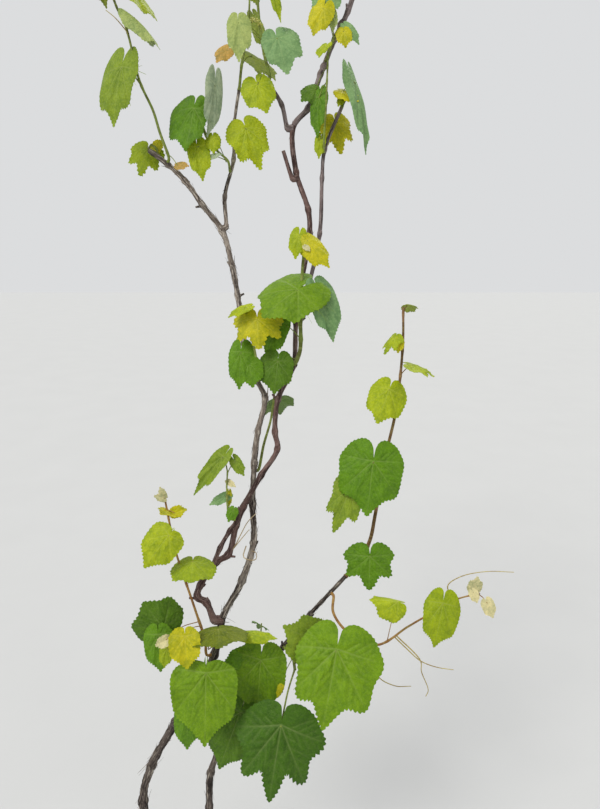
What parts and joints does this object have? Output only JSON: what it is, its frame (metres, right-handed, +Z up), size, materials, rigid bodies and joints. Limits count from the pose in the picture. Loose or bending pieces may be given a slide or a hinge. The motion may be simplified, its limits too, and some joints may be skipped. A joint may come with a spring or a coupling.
{
  "type": "grapevine",
  "caption": "Grapevine on its own root, with a low flared trunk, bent bare stems, slim trained canes and open leafy shoots of toothed, lobed heart-shaped leaves.",
  "frame": {"origin": "middle of the flat cut under the trunk, at ground level", "axes": "+Z up; +X to the right and +Y to the back as the vine is seen from its front, so it leans back towards +Y"},
  "size_m": [0.8391, 0.6736, 2.1766],
  "materials": {
    "bark": "rough, grey-brown, in long shreds",
    "red_bark": "smooth to finely grooved, red-brown",
    "foliage": "living leaf, satin above and matt below"
  },
  "bodies": {
    "root": {"trunk": "bark", "left_stem_lower": "bark", "left_stem_upper": "bark", "grey_cane_lower": "bark", "grey_cane_upper": "bark", "grey_cane_left_branch": "bark", "right_stem": "bark", "right_cane": "bark", "red_cane_foot": "red_bark", "red_cane_lower": "red_bark", "red_cane_middle": "red_bark", "red_cane_upper": "red_bark", "top_right_branch": "bark", "front_loop": "red_bark", "grey_cane_right_branch": "bark", "slim_cane": "bark", "top_left_branch": "red_bark", "cut_stub": "bark", "left_shoot": "foliage", "low_left_leaves": "foliage", "low_middle_leaves": "foliage", "low_right_leaves": "foliage", "small_front_shoot": "foliage", "middle_left_shoot": "foliage", "middle_right_shoot": "foliage", "right_shoot": "foliage", "far_right_shoot": "foliage", "upper_left_shoot": "foliage", "cut_end_leaves": "foliage", "grey_cane_top_shoot": "foliage", "grey_cane_middle_shoot": "foliage", "grey_cane_side_leaves": "foliage", "top_left_shoot": "foliage", "top_right_side_leaves": "foliage", "top_right_shoot": "foliage", "slim_cane_side_shoot": "foliage", "slim_cane_tip_shoot": "foliage", "back_shoot": "foliage", "low_back_shoot": "foliage"}
  },
  "joints": []
}
